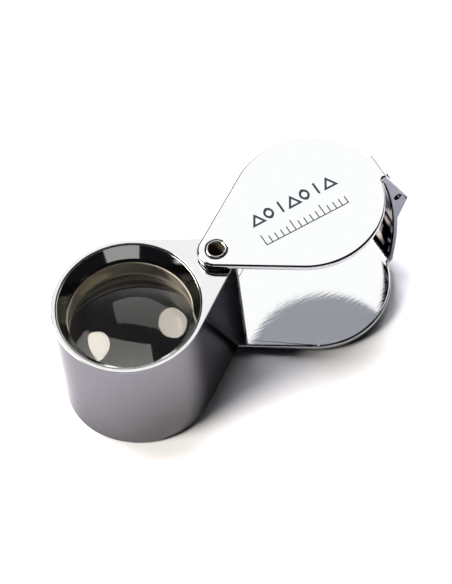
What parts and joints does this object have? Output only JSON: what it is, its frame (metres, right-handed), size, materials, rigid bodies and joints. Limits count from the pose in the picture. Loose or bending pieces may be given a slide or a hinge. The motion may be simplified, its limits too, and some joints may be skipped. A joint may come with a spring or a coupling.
{
  "type": "folding pocket loupe",
  "caption": "Folding pocket magnifier: a tall lens barrel on a neck swings on a hollow rivet out of a protective case folded from one polished metal sheet.",
  "frame": {"origin": "on the outer face of the case's bottom plate, at the centre of its round end, where the lens axis passes when the loupe is shut", "axes": "+Z out of the case's top plate; +X from the pivot to the folded end of the case, along the length of the opened loupe; +Y completes the frame, away from the side that carries the ear"},
  "size_m": [0.0585, 0.0238, 0.0241],
  "materials": {
    "case_chrome": "mirror-polished plate with fine straight polishing marks",
    "barrel_chrome": "polished end faces, satin sides",
    "rivet_chrome": "plated, rolled lip",
    "washer_steel": "dull",
    "ring_chrome": "polished dished face",
    "tube_brass": "dull, turned",
    "crown_glass": "clear polished",
    "flint_glass": "clear polished, very faintly warm"
  },
  "bodies": {
    "case": {"case_shell": "case_chrome", "pivot_rivet": "rivet_chrome", "bottom_friction_washer": "washer_steel", "top_friction_washer": "washer_steel"},
    "lens_barrel": {"barrel_housing": "barrel_chrome", "front_retaining_ring": "ring_chrome", "front_spacer_tube": "tube_brass", "crown_lens": "crown_glass", "flint_lens": "flint_glass", "rear_spacer_tube": "tube_brass", "rear_retaining_ring": "ring_chrome"}
  },
  "joints": [
    {"name": "lens_swing", "type": "hinge", "parent": "case", "child": "lens_barrel", "pos_m": [-0.0157, 0, 0.01185], "axis": [0, 0, 1], "continuous": true}
  ]
}
